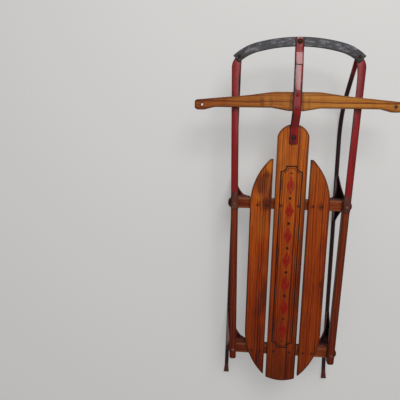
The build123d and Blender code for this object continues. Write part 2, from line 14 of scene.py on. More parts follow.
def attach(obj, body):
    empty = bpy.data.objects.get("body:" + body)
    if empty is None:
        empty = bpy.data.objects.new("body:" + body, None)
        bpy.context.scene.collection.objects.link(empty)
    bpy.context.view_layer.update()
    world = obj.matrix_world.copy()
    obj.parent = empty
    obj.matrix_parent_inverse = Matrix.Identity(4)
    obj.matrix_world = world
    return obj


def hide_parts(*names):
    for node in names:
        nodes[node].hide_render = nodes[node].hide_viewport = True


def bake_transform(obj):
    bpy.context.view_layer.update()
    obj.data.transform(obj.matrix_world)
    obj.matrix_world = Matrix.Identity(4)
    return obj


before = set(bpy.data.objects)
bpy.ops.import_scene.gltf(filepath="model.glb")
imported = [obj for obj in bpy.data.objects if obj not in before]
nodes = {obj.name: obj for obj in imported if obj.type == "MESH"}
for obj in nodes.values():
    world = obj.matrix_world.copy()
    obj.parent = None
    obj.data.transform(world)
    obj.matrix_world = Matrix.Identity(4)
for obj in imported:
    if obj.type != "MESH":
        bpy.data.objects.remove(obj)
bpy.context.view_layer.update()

MM = 0.001
SIDES = (("left", 1), ("right", -1))

# Sizes that the pieces made here share with the CAD model, in millimetres
FRONT_BENCH_X = 81.0
REAR_BENCH_X = -353.0
DECK_TOP = 150.0
RAIL_Y_FRONT = 149.5
RUNNER_TAIL_X = -513.3
RUNNER_TOE = 0.0084
RUNNER_Y_NOSE = 149.8
TAIL_LIFT = 5.0
TAIL_RADIUS = 120.0
FLARE_LENGTH = 22.0
BOW_RADIUS = 185.0
BOW_ANGLE = radians(45)
DRAWN_LENGTH = 48.0
NOSE_X = 475.0
NOSE_RADIUS = 9.0
NOSE_HALF = 6.5
STRAP_TAIL_X = 67.0
STRAP_SPLAY = 0.0265
STRAP_TURN_X = 420.5
STRAP_TURN_RADIUS = 250.0
STRAP_SHOULDER_X = 453.5
STRAP_SHOULDER_RADIUS = 36.0
STRAP_HALF = 9.5
STRAP_BOTTOM = 155.3
STRAP_TOP = 158.3
STRAP_CORNER = 3.0
FOOT_TOP = 9.7
IRON_HALF = 11.0
IRON_THICKNESS = 3.2
IRON_CORNER = 4.0
IRON_CREASE_X = 443.3
IRON_PATH = (  # x, height of its underside, bend radius
    (245.7, 150.3, 0.0),
    (289.0, 150.3, 14.0),
    (326.0, 176.9, 14.0),
    (382.0, 176.9, 12.0),
    (IRON_CREASE_X, 170.4, 20.0),
    (474.5, 163.4, 20.0),
    (511.8, 163.4, 0.0),
)
BUMPER_FRONT_X = 513.3
BUMPER_HALF = 11.5
BUMPER_RADIUS = 415.0
BUMPER_MIDDLE_X = BUMPER_FRONT_X - BUMPER_HALF - BUMPER_RADIUS

# The runner's section at its tail, along the ground and where it is drawn flat for the fold
FISHTAIL = {"half": 8.5, "top": 2.0, "foot": 2.0, "height": 3.5, "groove": 1.2}
SOLE = {"half": 6.0, "top": 3.2, "foot": 2.8, "height": 7.5, "groove": 2.6}
DRAWN = {"half": NOSE_HALF, "top": 6.0, "foot": 1.5, "height": 3.0, "groove": 0.3}
GROOVE_HALF = 3.2

# Nails through the slats into the benches, and rivets through the knees' feet, in millimetres
NAIL_X = (79.0, -352.0)
NAIL_Y = (23.0, 61.5, 86.0)
RIVET_REACH = 60.0

# Directions of the sled: to its left, and up
ACROSS = Vector((0.0, 1.0, 0.0))
UP = Vector((0.0, 0.0, 1.0))


def strap_y(x):
    """Distance from the middle of the sled to the middle of a bow's strap."""
    return RAIL_Y_FRONT + (x - FRONT_BENCH_X) * STRAP_SPLAY


def runner_y(x):
    """Distance from the middle of the sled to the middle of a runner."""
    return RUNNER_Y_NOSE + (NOSE_X - x) * RUNNER_TOE


def linear(code):
    """Linear colour of an sRGB hex value."""
    channels = [int(code[i:i + 2], 16) / 255 for i in (1, 3, 5)]
    return tuple(c / 12.92 if c <= 0.04045 else ((c + 0.055) / 1.055) ** 2.4 for c in channels) + (1.0,)


def add_node(tree, kind, inputs=None, stops=(), **settings):
    """Add a node with its settings, its inputs as values or links, and a colour ramp's stops."""
    made = tree.nodes.new(kind)
    for key, value in settings.items():
        setattr(made, key, value)
    for key, value in (inputs or {}).items():
        if isinstance(value, bpy.types.Node):
            value = next(socket for socket in value.outputs if not socket.is_unavailable)
        if isinstance(value, bpy.types.NodeSocket):
            tree.links.new(value, made.inputs[key])
        else:
            made.inputs[key].default_value = value
    for index, (place, code) in enumerate(stops):
        elements = made.color_ramp.elements
        element = elements[index] if index < 2 else elements.new(place)
        element.position = place
        element.color = linear(code)
    return made


def new_material(name):
    """Empty node material and its tree."""
    material = bpy.data.materials.new(name)
    material.use_nodes = True
    material.node_tree.nodes.clear()
    return material, material.node_tree


def set_camera():
    """Camera at the photograph's place, rolled so that the sled's front points up in the picture."""
    data = bpy.data.cameras.new("camera")
    data.lens = 37.35
    data.sensor_width = 36.0
    data.sensor_fit = "HORIZONTAL"
    camera = bpy.data.objects.new("camera", data)

    # Fitted to the photograph: which way the camera's own axes point, and its place in metres
    right = (0.019105, -0.995732, -0.090295)
    up = (0.984119, 0.034669, -0.174094)
    back = (0.176481, -0.085535, 0.980581)
    place = Matrix.Translation((0.2895, 0.1467, 1.2746))
    camera.matrix_world = place @ Matrix((right, up, back)).transposed().to_4x4()
    bpy.context.scene.collection.objects.link(camera)
    bpy.context.scene.camera = camera


def background_rays(tree):
    """1 for rays that show the background, seen straight, mirrored or through something, and else 0."""
    rays = add_node(tree, "ShaderNodeLightPath")
    seen = add_node(tree, "ShaderNodeMath", {
        0: rays.outputs["Is Camera Ray"], 1: rays.outputs["Is Glossy Ray"],
    }, operation="MAXIMUM")
    return add_node(tree, "ShaderNodeMath", {
        0: seen, 1: rays.outputs["Is Transmission Ray"],
    }, operation="MAXIMUM")


def set_studio():
    """Pale floor, a soft lamp above the front, a dim panel overhead, and an even pale surround."""
    bpy.context.scene.view_settings.view_transform = "Standard"
    mesh = bpy.data.meshes.new("studio_floor")
    half, height = 8.0, -0.0006
    corners = [(-half, -half, height), (half, -half, height), (half, half, height), (-half, half, height)]
    mesh.from_pydata(corners, [], [(0, 1, 2, 3)])
    floor = bpy.data.objects.new("studio_floor", mesh)
    bpy.context.scene.collection.objects.link(floor)
    material, tree = new_material("matt_pale_paint")
    paint = add_node(tree, "ShaderNodeBsdfPrincipled", {"Base Color": linear("#d2d1cf"), "Roughness": 0.85})
    glow = add_node(tree, "ShaderNodeEmission", {"Color": linear("#cfcecc"), "Strength": 1.0})
    share = add_node(tree, "ShaderNodeMath", {0: background_rays(tree), 1: 0.45}, operation="MULTIPLY")
    mixed = add_node(tree, "ShaderNodeMixShader", {0: share, 1: paint, 2: glow})
    add_node(tree, "ShaderNodeOutputMaterial", {"Surface": mixed})
    mesh.materials.append(material)

    for name, size, energy, place, target in (
        ("soft_lamp", (0.9, 0.9), 33.0, (1.33, -0.25, 1.9), (0.0, 0.0, 0.1)),
        ("dim_panel", (0.52, 1.0), 3.3, (0.66, -0.25, 2.17), (0.66, -0.25, 0.0)),
    ):
        lamp_data = bpy.data.lights.new(name, "AREA")
        lamp_data.shape = "RECTANGLE"
        lamp_data.size, lamp_data.size_y = size
        lamp_data.energy = energy
        lamp = bpy.data.objects.new(name, lamp_data)
        aim = Vector(target) - Vector(place)
        lamp.matrix_world = Matrix.Translation(place) @ aim.to_track_quat("-Z", "Y").to_matrix().to_4x4()
        bpy.context.scene.collection.objects.link(lamp)

    world = bpy.data.worlds.new("pale_surround")
    bpy.context.scene.world = world
    world.use_nodes = True
    tree = world.node_tree
    tree.nodes.clear()
    ambient = add_node(tree, "ShaderNodeBackground", {"Color": linear("#ffffff"), "Strength": 0.35})
    pale = add_node(tree, "ShaderNodeBackground", {"Color": linear("#c8c7c4"), "Strength": 1.0})
    mixed = add_node(tree, "ShaderNodeMixShader", {0: background_rays(tree), 1: ambient, 2: pale})
    add_node(tree, "ShaderNodeOutputWorld", {"Surface": mixed})


def near_arris(tree, reach):
    """1 on a sharp edge of the piece and 0 further from it than about `reach` mm."""
    inside = add_node(
        tree, "ShaderNodeAmbientOcclusion", {"Distance": reach * MM}, inside=True, only_local=True, samples=8
    )
    return add_node(tree, "ShaderNodeMapRange", {
        "Value": inside.outputs["AO"], "From Min": 0.55, "From Max": 1.0, "To Min": 1.0, "To Max": 0.0,
    })


def repeats(*lengths):
    """How often features of these lengths, in mm, repeat in a metre: a pattern's scale along each axis."""
    return tuple(1 / (length * MM) for length in lengths)


def strayed(tree, coords, lengths, swing, detail):
    """Coordinates led astray, by up to half of `swing`, by noise with features of these lengths, in mm."""
    noise = add_node(tree, "ShaderNodeVectorMath", {0: coords, 1: repeats(*lengths)}, operation="MULTIPLY")
    noise = add_node(tree, "ShaderNodeTexNoise", {"Vector": noise, "Scale": 1.0, "Detail": detail})
    noise = add_node(tree, "ShaderNodeVectorMath", {
        0: noise.outputs["Color"], 1: (0.5, 0.5, 0.5),
    }, operation="SUBTRACT")
    return add_node(tree, "ShaderNodeVectorMath", {
        0: noise, 1: tuple(reach * MM for reach in swing), 2: coords,
    }, operation="MULTIPLY_ADD")


def patches(tree, coords, places):
    """How much ragged patches cover: each has x, y, half length and half width in mm, and its strength."""
    if not places:
        return 0.0
    ragged = strayed(tree, coords, (26.32, 26.32, 26.32), (30.0, 12.0, 0.0), 3.0)
    mask = 0.0
    for x, y, half_length, half_width, strength in places:
        spot = add_node(tree, "ShaderNodeVectorMath", {
            0: ragged, 1: (x * MM, y * MM, 0.0),
        }, operation="SUBTRACT")
        spot = add_node(tree, "ShaderNodeVectorMath", {
            0: spot, 1: (*repeats(half_length, half_width), 0.0),
        }, operation="MULTIPLY")
        spot = add_node(tree, "ShaderNodeVectorMath", {0: spot}, operation="LENGTH")
        spot = add_node(tree, "ShaderNodeMapRange", {
            "Value": spot.outputs["Value"],
            "From Min": 0.35, "From Max": 1.2, "To Min": strength, "To Max": 0.0,
        }, interpolation_type="SMOOTHSTEP")
        mask = add_node(tree, "ShaderNodeMath", {0: mask, 1: spot}, operation="MAXIMUM")
    return mask


def nail_stain(tree, coords):
    """Black iron stain in the wood round each nail: strongest at the nail and gone 7 mm out."""
    parts = add_node(tree, "ShaderNodeSeparateXYZ", {"Vector": coords}).outputs
    across = add_node(tree, "ShaderNodeMath", {0: parts["Y"]}, operation="ABSOLUTE")
    far_off = 1.0  # a metre, beyond every nail
    nearest = []
    for value, places in ((parts["X"], NAIL_X), (across, NAIL_Y)):
        least = far_off
        for place in places:
            gap = add_node(tree, "ShaderNodeMath", {0: value, 1: place * MM}, operation="SUBTRACT")
            gap = add_node(tree, "ShaderNodeMath", {0: gap}, operation="ABSOLUTE")
            least = add_node(tree, "ShaderNodeMath", {0: least, 1: gap}, operation="MINIMUM")
        nearest.append(least)
    gap = add_node(tree, "ShaderNodeCombineXYZ", {"X": nearest[0], "Y": nearest[1]})
    gap = add_node(tree, "ShaderNodeVectorMath", {0: gap}, operation="LENGTH")
    return add_node(tree, "ShaderNodeMapRange", {
        "Value": gap.outputs["Value"],
        "From Min": 2.0 * MM, "From Max": 7.0 * MM, "To Min": 0.6, "To Max": 0.0,
    }, interpolation_type="SMOOTHSTEP")


def painted_trim(tree, coords, color):
    """Worn painted trim of the centre slat: two lines with scooped corners round a row of lozenges."""
    middle, half_length, half_width, scoop = -75 * MM, 262 * MM, 28 * MM, 15 * MM
    bold_half, fine_half, fine_inset = 1.9 * MM, 0.8 * MM, 5 * MM
    pitch, lozenge_length, lozenge_width, bead_radius = 70 * MM, 26 * MM, 12 * MM, 4 * MM
    row_half = 3.5 * pitch
    place = add_node(tree, "ShaderNodeVectorMath", {
        0: coords, 1: (middle, 0.0, DECK_TOP * MM),
    }, operation="SUBTRACT")
    place = add_node(tree, "ShaderNodeVectorMath", {0: place}, operation="ABSOLUTE")
    parts = add_node(tree, "ShaderNodeSeparateXYZ", {"Vector": place}).outputs

    # Lines: how far outside an oblong that has a quarter circle scooped out of each corner
    past = add_node(tree, "ShaderNodeVectorMath", {
        0: place, 1: (half_length, half_width, 0.0),
    }, operation="SUBTRACT")
    past = add_node(tree, "ShaderNodeSeparateXYZ", {"Vector": past}).outputs
    reach = add_node(tree, "ShaderNodeCombineXYZ", {"X": past["X"], "Y": past["Y"]})
    reach = add_node(tree, "ShaderNodeVectorMath", {0: reach}, operation="LENGTH")
    in_scoop = add_node(tree, "ShaderNodeMath", {0: scoop, 1: reach.outputs["Value"]}, operation="SUBTRACT")
    gap = add_node(tree, "ShaderNodeMath", {0: past["X"], 1: past["Y"]}, operation="MAXIMUM")
    gap = add_node(tree, "ShaderNodeMath", {0: gap, 1: in_scoop}, operation="MAXIMUM")
    bold_line = add_node(tree, "ShaderNodeMath", {0: gap, 1: 0.0, 2: bold_half}, operation="COMPARE")
    fine_line = add_node(tree, "ShaderNodeMath", {0: gap, 1: -fine_inset, 2: fine_half}, operation="COMPARE")
    line = add_node(tree, "ShaderNodeMath", {0: bold_line, 1: fine_line}, operation="MAXIMUM")

    # Row: how far along from the nearest lozenge, and from the bead between two
    along = add_node(tree, "ShaderNodeMath", {0: parts["X"], 1: pitch / 2}, operation="PINGPONG")
    slope = add_node(tree, "ShaderNodeMath", {
        0: along, 1: lozenge_width / lozenge_length, 2: parts["Y"],
    }, operation="MULTIPLY_ADD")
    lozenge = add_node(tree, "ShaderNodeMath", {0: slope, 1: lozenge_width}, operation="LESS_THAN")
    beyond = add_node(tree, "ShaderNodeMath", {0: pitch / 2, 1: along}, operation="SUBTRACT")
    bead = add_node(tree, "ShaderNodeCombineXYZ", {"X": beyond, "Y": parts["Y"]})
    bead = add_node(tree, "ShaderNodeVectorMath", {0: bead}, operation="LENGTH")
    bead = add_node(tree, "ShaderNodeMath", {0: bead.outputs["Value"], 1: bead_radius}, operation="LESS_THAN")
    in_row = add_node(tree, "ShaderNodeMath", {0: parts["X"], 1: row_half}, operation="LESS_THAN")

    # Paint rubbed off along the grain, in flakes about 14 mm long and 2.4 mm wide
    worn = add_node(tree, "ShaderNodeVectorMath", {
        0: coords, 1: repeats(14.29, 2.381, 1000.0),
    }, operation="MULTIPLY")
    worn = add_node(tree, "ShaderNodeTexNoise", {"Vector": worn, "Scale": 1.0, "Detail": 5.0})
    for shape, keep, code, limits in (
        (lozenge, in_row, "#7d0a0c", (0.47, 0.60)),
        (bead, in_row, "#120905", (0.54, 0.66)),
        (line, None, "#120905", (0.62, 0.74)),
    ):
        left = add_node(tree, "ShaderNodeMapRange", {
            "Value": worn, "From Min": limits[0], "From Max": limits[1], "To Min": 0.95, "To Max": 0.2,
        })
        mask = add_node(tree, "ShaderNodeMath", {0: shape, 1: left}, operation="MULTIPLY")
        if keep:
            mask = add_node(tree, "ShaderNodeMath", {0: mask, 1: keep}, operation="MULTIPLY")
        color = add_node(tree, "ShaderNodeMix", {
            "Factor": mask, "A": color, "B": linear(code),
        }, data_type="RGBA")
    return color


def growth_rings(tree, grain, ring, figure):
    """Dark spring wood of the rings round the log's heart, each ring with its own width and darkness."""
    uneven_over, uneven_by = 11.11 * MM, 2.2  # rings crowd and spread over this length, by this many rings
    radius = add_node(tree, "ShaderNodeVectorMath", {0: grain, 1: (0.0, 1.0, 1.0)}, operation="MULTIPLY")
    radius = add_node(tree, "ShaderNodeVectorMath", {0: radius}, operation="LENGTH").outputs["Value"]
    uneven = add_node(tree, "ShaderNodeTexNoise", {
        "W": radius, "Scale": 1 / uneven_over, "Detail": 1.0,
    }, noise_dimensions="1D")
    uneven = add_node(tree, "ShaderNodeMath", {0: uneven, 1: uneven_by}, operation="MULTIPLY")
    years = add_node(tree, "ShaderNodeMath", {
        0: radius, 1: 1 / (ring * MM), 2: uneven,
    }, operation="MULTIPLY_ADD")
    year = add_node(tree, "ShaderNodeMath", {0: years}, operation="FLOOR")
    season = add_node(tree, "ShaderNodeMath", {0: years}, operation="FRACT")
    weight = add_node(tree, "ShaderNodeTexWhiteNoise", {"W": year}, noise_dimensions="1D")
    weight = add_node(tree, "ShaderNodeMapRange", {
        "Value": weight.outputs["Value"], "To Min": 0.4 * figure, "To Max": figure,
    })
    spring = add_node(tree, "ShaderNodeMapRange", {
        "Value": season, "From Min": 0.05, "From Max": 0.45, "To Min": 1.0, "To Max": 0.12,
    }, interpolation_type="SMOOTHSTEP")
    return add_node(tree, "ShaderNodeMath", {0: spring, 1: weight}, operation="MULTIPLY")


def ash_grain(tree, log, ring, wave, figure):
    """How pale the wood is, from 0 in a ring's dark pore line to 1 in its clearest wood.

    The grain wanders in waves 40 to 110 mm long. Its open pores are 0.2 mm wide in the real wood and
    are drawn 0.8 mm wide, so that they show. Its darker streaks are 3 mm wide and as long as a hand.
    """
    grain = strayed(tree, log, (111.1, 41.67, 41.67), (0.0, 2 * wave, 2 * wave), 2.0)
    rings = growth_rings(tree, grain, ring, figure)
    pale = add_node(tree, "ShaderNodeMath", {0: 0.95, 1: rings}, operation="SUBTRACT")
    for lengths, detail, least, most, depth, fade in (
        ((25.0, 0.8, 0.8), 3.0, 0.50, 0.70, 0.22, "SMOOTHSTEP"),
        ((142.9, 3.333, 3.333), 2.0, 0.35, 0.68, 0.3, "LINEAR"),
    ):
        dark = add_node(tree, "ShaderNodeVectorMath", {0: grain, 1: repeats(*lengths)}, operation="MULTIPLY")
        dark = add_node(tree, "ShaderNodeTexNoise", {"Vector": dark, "Scale": 1.0, "Detail": detail})
        dark = add_node(tree, "ShaderNodeMapRange", {
            "Value": dark, "From Min": least, "From Max": most, "To Min": 0.0, "To Max": depth,
        }, interpolation_type=fade)
        pale = add_node(tree, "ShaderNodeMath", {0: pale, 1: dark}, operation="SUBTRACT", use_clamp=True)
    return pale


def varnished_board(
    name, heart, ring, wave, tones, figure, coat, coat_from, coat_along="X", across=False, tilt=0.0,
    arris="#2a1209", stains=(), rubbed=(), nails=False, trim=False,
):
    """Ash board, flat-sawn and varnished: long growth rings, open pores, and an old uneven amber coat.

    `heart` is where the log's heart runs, across and up, `ring` the spacing of its growth rings and
    `wave` how far the grain wanders, all in mm. `tones` run from the dark pore line of a ring to its
    pale wood, and `figure` is how strongly the rings show. `coat` are the tints of the varnish from
    the first place of `coat_from` to the second, `coat_along` an axis, which on the slats also paint
    light that falls off towards the rear. The grain runs along the sled, or `across` it, turned by
    `tilt` radians. `arris` is the colour near its edges: dark on most boards, for the coat worn off,
    dirt ground in and painted shade along the edges, and pale on the benches, a painted highlight.
    `stains` are dark patches and `rubbed` pale ones. Slats have black wood round their `nails`, and
    one has `trim`.
    """
    material, tree = new_material(name)
    coords = add_node(tree, "ShaderNodeTexCoord").outputs["Object"]
    log = add_node(tree, "ShaderNodeMapping", {
        "Vector": coords,
        "Location": (0.0, -heart[0] * MM, -heart[1] * MM),
        "Rotation": (tilt, 0.0, pi / 2) if across else (0.0, tilt, 0.0),
    })
    pale = ash_grain(tree, log, ring, wave, figure)
    color = add_node(tree, "ShaderNodeValToRGB", {"Fac": pale}, tones)

    # The coat: its tint changes along the board, on the slats also painted light falling off towards the
    # rear, and it is darker and redder in slow patches
    parts = add_node(tree, "ShaderNodeSeparateXYZ", {"Vector": coords}).outputs
    along = add_node(tree, "ShaderNodeMapRange", {
        "Value": parts[coat_along], "From Min": coat_from[0] * MM, "From Max": coat_from[1] * MM,
    })
    tint = add_node(tree, "ShaderNodeValToRGB", {"Fac": along}, coat)
    color = add_node(tree, "ShaderNodeMix", {
        "Factor": 1.0, "A": color, "B": tint,
    }, data_type="RGBA", blend_type="MULTIPLY")
    patch = add_node(tree, "ShaderNodeVectorMath", {
        0: coords, 1: repeats(90.9, 38.46, 38.46),
    }, operation="MULTIPLY")
    patch = add_node(tree, "ShaderNodeTexNoise", {"Vector": patch, "Scale": 1.0, "Detail": 4.0})
    deepness = add_node(tree, "ShaderNodeMapRange", {
        "Value": patch, "From Min": 0.48, "From Max": 0.75, "To Min": 0.0, "To Max": 0.5,
    })
    color = add_node(tree, "ShaderNodeMix", {
        "Factor": deepness, "A": color, "B": linear("#b07c6c"),
    }, data_type="RGBA", blend_type="MULTIPLY")
    color = add_node(tree, "ShaderNodeMix", {
        "Factor": patches(tree, coords, rubbed), "A": color, "B": linear("#ab6018"),
    }, data_type="RGBA")
    if trim:
        color = painted_trim(tree, coords, color)

    # Black round the nails; dark arrises for the coat worn off, dirt ground in and painted shade along the
    # boards' edges, and on the benches pale arrises, a painted highlight; and dark stains over all
    worn = add_node(tree, "ShaderNodeMath", {0: near_arris(tree, 6.0), 1: 0.9}, operation="MULTIPLY")
    for mask, code in (
        (nail_stain(tree, coords) if nails else 0.0, "#170a06"),
        (worn, arris),
        (patches(tree, coords, stains), "#340f07"),
    ):
        color = add_node(tree, "ShaderNodeMix", {
            "Factor": mask, "A": color, "B": linear(code),
        }, data_type="RGBA")
    roughness = add_node(tree, "ShaderNodeMapRange", {
        "Value": patch, "From Min": 0.3, "From Max": 0.75, "To Min": 0.36, "To Max": 0.52,
    })
    bump = add_node(tree, "ShaderNodeBump", {"Strength": 0.5, "Distance": 0.12 * MM, "Height": pale})
    board = add_node(tree, "ShaderNodeBsdfPrincipled", {
        "Base Color": color, "Roughness": roughness, "Normal": bump, "IOR": 1.5, "Specular IOR Level": 0.12,
    })
    add_node(tree, "ShaderNodeOutputMaterial", {"Surface": board})
    return material


def near_rim(tree, reach):
    """1 on the long edges of a swept strip and 0 from `reach` mm inside them."""
    across = add_node(tree, "ShaderNodeAttribute", attribute_name="across").outputs["Fac"]
    across = add_node(tree, "ShaderNodeMath", {0: across}, operation="ABSOLUTE")
    half = add_node(tree, "ShaderNodeAttribute", attribute_name="half").outputs["Fac"]
    inside = add_node(tree, "ShaderNodeMath", {0: half, 1: across}, operation="SUBTRACT")
    return add_node(tree, "ShaderNodeMapRange", {
        "Value": inside, "From Min": 0.0, "From Max": reach, "To Min": 1.0, "To Max": 0.0,
    })


def on_arch(tree, coords, reach):
    """Coordinates that follow the bumper's arch, and 1 on its two edges, 0 from `reach` mm inside them."""
    parts = add_node(tree, "ShaderNodeSeparateXYZ", {"Vector": coords}).outputs
    ahead = add_node(tree, "ShaderNodeMath", {0: parts["X"], 1: BUMPER_MIDDLE_X * MM}, operation="SUBTRACT")
    arm = add_node(tree, "ShaderNodeCombineXYZ", {"X": ahead, "Y": parts["Y"]})
    arm = add_node(tree, "ShaderNodeVectorMath", {0: arm}, operation="LENGTH").outputs["Value"]
    where = add_node(tree, "ShaderNodeCombineXYZ", {"X": arm, "Y": parts["Y"], "Z": parts["Z"]})
    off = add_node(tree, "ShaderNodeMath", {0: arm, 1: BUMPER_RADIUS * MM}, operation="SUBTRACT")
    off = add_node(tree, "ShaderNodeMath", {0: off}, operation="ABSOLUTE")
    edge = add_node(tree, "ShaderNodeMapRange", {
        "Value": off, "From Min": (BUMPER_HALF - reach) * MM, "From Max": BUMPER_HALF * MM,
    })
    return where, edge


def paint_left(tree, coords, cloud, grit, edge, paint):
    """1 where the paint still covers the steel: it starts at a ragged line, and is chipped and cracked, and
    it is also taken off along patches that paint the shade of side faces.
    """
    ragged, flake_size, crack_wander, crack_half = 30 * MM, 6.667 * MM, 1.6 * MM, 1.3 * MM
    parts = add_node(tree, "ShaderNodeSeparateXYZ", {"Vector": coords}).outputs
    place = add_node(tree, "ShaderNodeMath", {
        0: cloud, 1: ragged, 2: parts[paint["axis"]],
    }, operation="MULTIPLY_ADD")
    bare, covered = (limit * MM + ragged / 2 for limit in paint["start"])
    left = add_node(tree, "ShaderNodeMapRange", {
        "Value": place, "From Min": bare, "From Max": covered,
    }, interpolation_type="SMOOTHSTEP")
    flake = add_node(tree, "ShaderNodeTexNoise", {"Vector": coords, "Scale": 1 / flake_size, "Detail": 4.0})
    flake = add_node(tree, "ShaderNodeMath", {0: edge, 1: 0.22, 2: flake}, operation="MULTIPLY_ADD")
    chips_and_side_shade = patches(tree, coords, paint["chips_and_side_shade"])
    flake = add_node(tree, "ShaderNodeMath", {0: chips_and_side_shade, 1: flake}, operation="ADD")
    limit = 0.8 - 0.2 * paint["chipped"]
    flake = add_node(tree, "ShaderNodeMapRange", {
        "Value": flake, "From Min": limit, "From Max": limit + 0.05,
    })
    left = add_node(tree, "ShaderNodeMath", {0: left, 1: flake}, operation="SUBTRACT", use_clamp=True)
    for crack in paint["cracks"]:
        split = add_node(tree, "ShaderNodeMath", {
            0: grit, 1: crack_wander, 2: parts["X"],
        }, operation="MULTIPLY_ADD")
        split = add_node(tree, "ShaderNodeMath", {
            0: split, 1: crack * MM + crack_wander / 2, 2: crack_half,
        }, operation="COMPARE")
        left = add_node(tree, "ShaderNodeMath", {0: left, 1: split}, operation="SUBTRACT", use_clamp=True)
    return left


def brushed_coat(tree, coords, cloud, edge, paint, arris):
    """Colour of the paint: streaks left by the brush, dull and darker towards its edges, which on the straps
    and iron is also painted shade of their side faces, and grimy in places.
    """
    coat = add_node(tree, "ShaderNodeVectorMath", {
        0: coords, 1: repeats(83.33, 11.11, 11.11),
    }, operation="MULTIPLY")
    coat = add_node(tree, "ShaderNodeTexNoise", {"Vector": coat, "Scale": 1.0, "Detail": 4.0})
    coat = add_node(tree, "ShaderNodeValToRGB", {"Fac": coat}, paint["tones"])
    edge_wear_and_shade = add_node(tree, "ShaderNodeMath", {0: cloud, 1: 0.5, 2: edge}, operation="MULTIPLY_ADD")
    edge_wear_and_shade = add_node(tree, "ShaderNodeMapRange", {
        "Value": edge_wear_and_shade, "From Min": 0.35, "From Max": 1.0, "To Min": 0.0, "To Max": 0.75,
    })
    for mask, code in ((edge_wear_and_shade, arris), (patches(tree, coords, paint["grime"]), "#2a0f1a")):
        coat = add_node(tree, "ShaderNodeMix", {
            "Factor": mask, "A": coat, "B": linear(code),
        }, data_type="RGBA")
    return coat


def old_steel(
    name, skin, mottle, rust, rusting, arris, reach, rough, metallic,
    strip=False, arched=False, shine=0.4, marks=(), mark_code="#22100f", paint=None,
):
    """Flat or pressed steel with age on it.

    `skin` is the slow change of its bare colour, over lengths of about `mottle` mm along each axis,
    `rusting` how much of it is freckled with `rust`, and `arris` the colour of its edges within about
    `reach` mm. A `strip` knows its own edges, and the `arched` bumper is mottled along its arch.
    `shine` is its specular level, `marks` are patches of `mark_code`, and `paint` is what is left on it.
    """
    material, tree = new_material(name)
    coords = add_node(tree, "ShaderNodeTexCoord").outputs["Object"]
    where = coords
    if arched:
        where, edge = on_arch(tree, coords, reach)
    elif strip:
        edge = near_rim(tree, reach)
    else:
        edge = near_arris(tree, reach)
    cloud = add_node(tree, "ShaderNodeVectorMath", {0: where, 1: repeats(*mottle)}, operation="MULTIPLY")
    cloud = add_node(tree, "ShaderNodeTexNoise", {"Vector": cloud, "Scale": 1.0, "Detail": 6.0})
    color = add_node(tree, "ShaderNodeValToRGB", {"Fac": cloud}, skin)

    # Rust comes in grains of about a tenth of a millimetre, drawn as freckles up to 2.6 mm across
    grit = add_node(tree, "ShaderNodeTexNoise", {"Vector": coords, "Scale": 1 / (2.632 * MM), "Detail": 5.0})
    freckles = add_node(tree, "ShaderNodeMapRange", {
        "Value": grit, "From Min": 0.72 - 0.3 * rusting, "From Max": 0.82 - 0.3 * rusting,
        "To Min": 0.0, "To Max": 0.75,
    })
    # On the straps and iron this dark band along the edges is also painted shade of their side faces
    worn = add_node(tree, "ShaderNodeMath", {0: edge, 1: 1.6, 2: -0.35}, operation="MULTIPLY_ADD")
    worn = add_node(tree, "ShaderNodeMath", {0: worn, 1: grit}, operation="MULTIPLY")
    worn = add_node(tree, "ShaderNodeMapRange", {
        "Value": worn, "From Min": 0.12, "From Max": 0.4, "To Min": 0.0, "To Max": 0.9,
    })
    for mask, code in ((freckles, rust), (patches(tree, coords, marks), mark_code), (worn, arris)):
        color = add_node(tree, "ShaderNodeMix", {
            "Factor": mask, "A": color, "B": linear(code),
        }, data_type="RGBA")
    roughness = add_node(tree, "ShaderNodeMapRange", {
        "Value": cloud, "From Min": 0.35, "From Max": 0.65, "To Min": rough[0], "To Max": rough[1],
    })
    height = grit
    if paint:
        left = paint_left(tree, coords, cloud, grit, edge, paint)
        coat = brushed_coat(tree, coords, cloud, edge, paint, arris)
        color = add_node(tree, "ShaderNodeMix", {"Factor": left, "A": color, "B": coat}, data_type="RGBA")
        roughness = add_node(tree, "ShaderNodeMix", {
            "Factor": left, "A": roughness, "B": paint["rough"],
        }, data_type="FLOAT")
        metallic = add_node(tree, "ShaderNodeMath", {
            0: left, 1: -metallic, 2: metallic,
        }, operation="MULTIPLY_ADD")
        height = add_node(tree, "ShaderNodeMath", {0: grit, 1: 0.2, 2: left}, operation="MULTIPLY_ADD")
    bump = add_node(tree, "ShaderNodeBump", {"Strength": 0.6, "Distance": 0.15 * MM, "Height": height})
    steel = add_node(tree, "ShaderNodeBsdfPrincipled", {
        "Base Color": color, "Roughness": roughness, "Normal": bump, "Metallic": metallic,
        "Specular IOR Level": 0.25 if paint else shine,
    })
    add_node(tree, "ShaderNodeOutputMaterial", {"Surface": steel})
    return material


def finish_with(piece, material):
    """Give a whole piece one material."""
    piece.data.materials.clear()
    piece.data.materials.append(material)
    piece.data.polygons.foreach_set("material_index", [0] * len(piece.data.polygons))


def rounded(corners, radius):
    """Closed section with its corners rounded off, three points to a corner."""
    loop = []
    for before, corner, after in zip(corners[-1:] + corners[:-1], corners, corners[1:] + corners[:1]):
        corner, back, ahead = Vector(corner), Vector(before) - Vector(corner), Vector(after) - Vector(corner)
        reach = min(radius, 0.45 * back.length, 0.45 * ahead.length)
        start, end = corner + back.normalized() * reach, corner + ahead.normalized() * reach
        loop += [start, (start + end + 2 * corner) / 4, end]
    return loop


def strip_section(half, thickness, edge=0.6):
    """Flat strip with eased edges, its underside on local height 0."""
    return rounded([(-half, 0), (half, 0), (half, thickness), (-half, thickness)], edge)


